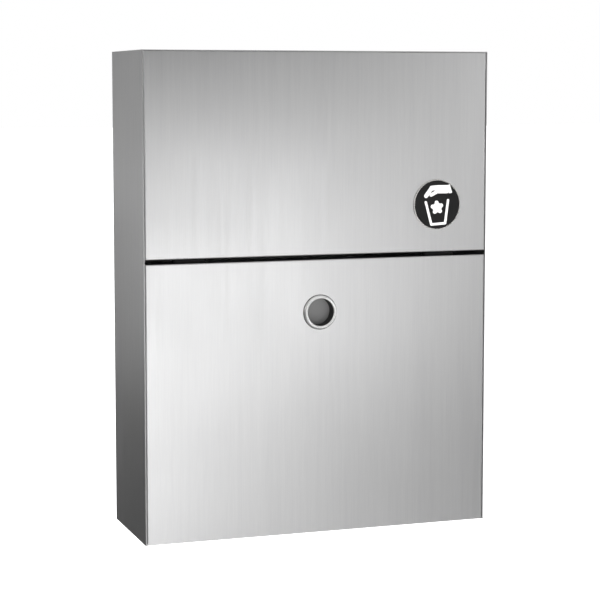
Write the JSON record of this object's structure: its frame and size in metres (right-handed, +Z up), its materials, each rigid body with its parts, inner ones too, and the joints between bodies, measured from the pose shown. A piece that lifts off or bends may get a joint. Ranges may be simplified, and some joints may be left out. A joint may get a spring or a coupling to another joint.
{
  "type": "surface-mounted waste bin",
  "caption": "Flat steel wall-mounted waste receptacle with an inward push flap above a lockable tilt-out door that carries a moulded container.",
  "frame": {"origin": "centre of the four wall screw holes, on the back's outer face", "axes": "+X to the right seen from the front, +Y into the wall, +Z up"},
  "size_m": [0.287, 0.103, 0.384],
  "materials": {
    "satin_steel": "stainless steel sheet, satin finish with upright grain",
    "inner_steel": "mill-finish stainless sheet, seen only with the panels open",
    "black_rubber": "black moulded rubber, matt",
    "hinge_pin_steel": "drawn steel wire",
    "spring_steel": "spring steel wire",
    "badge_black": "black printed plastic disc, soft gloss",
    "badge_rim": "pale thin rim",
    "badge_white": "white raised print",
    "polished_steel": "polished lock body and bezel",
    "lock_nut_metal": "machined nut",
    "lock_plug_metal": "plain turned plug, dull grey",
    "cam_steel": "zinc-plated steel",
    "container_plastic": "moulded grey polyethylene, fine texture"
  },
  "bodies": {
    "cabinet": {"cabinet_wrap": "satin_steel", "cabinet_top": "satin_steel", "cabinet_floor": "satin_steel", "cross_rail": "inner_steel", "rail_edge_trim": "black_rubber", "cam_keeper": "inner_steel", "flap_bumpers": "black_rubber", "flap_hinge_fixed_leaf": "inner_steel", "flap_hinge_pin": "hinge_pin_steel", "flap_spring_left": "spring_steel", "flap_spring_right": "spring_steel", "door_hinge_fixed_leaf": "inner_steel", "door_hinge_pin": "hinge_pin_steel", "door_stay_studs": "inner_steel"},
    "flap": {"flap_panel": "satin_steel", "flap_hinge_moving_leaf": "inner_steel", "badge_disc": "badge_black", "badge_rim": "badge_rim", "badge_pictogram": "badge_white"},
    "door": {"door_panel": "satin_steel", "door_hinge_moving_leaf": "inner_steel", "door_stay_left": "inner_steel", "door_stay_right": "inner_steel", "container_cradle": "inner_steel", "lock_backing_plate": "inner_steel", "lock_body": "polished_steel", "lock_nut": "lock_nut_metal"},
    "lock_cylinder": {"lock_plug": "lock_plug_metal", "lock_cam": "cam_steel", "lock_cam_washer": "cam_steel", "lock_cam_screw": "cam_steel"},
    "container": {"waste_container": "container_plastic"}
  },
  "joints": [
    {"name": "flap_push", "type": "hinge", "parent": "cabinet", "child": "flap", "pos_m": [0, -0.097, 0.189], "axis": [1, 0, 0], "range_deg": [0, 30], "stiffness_Nm_per_rad": 0.25, "springref_deg": -20.05, "deforming": ["flap_spring_left", "flap_spring_right"]},
    {"name": "door_tilt", "type": "hinge", "parent": "cabinet", "child": "door", "pos_m": [0, -0.097, -0.189], "axis": [1, 0, 0], "range_deg": [0, 45]},
    {"name": "lock_turn", "type": "hinge", "parent": "door", "child": "lock_cylinder", "pos_m": [0, -0.09, -0.0141], "axis": [0, -1, 0], "range_deg": [0, 90]},
    {"name": "container_lift", "type": "slide", "parent": "door", "child": "container", "axis": [0, 0, 1], "range_m": [0, 0.05]}
  ]
}
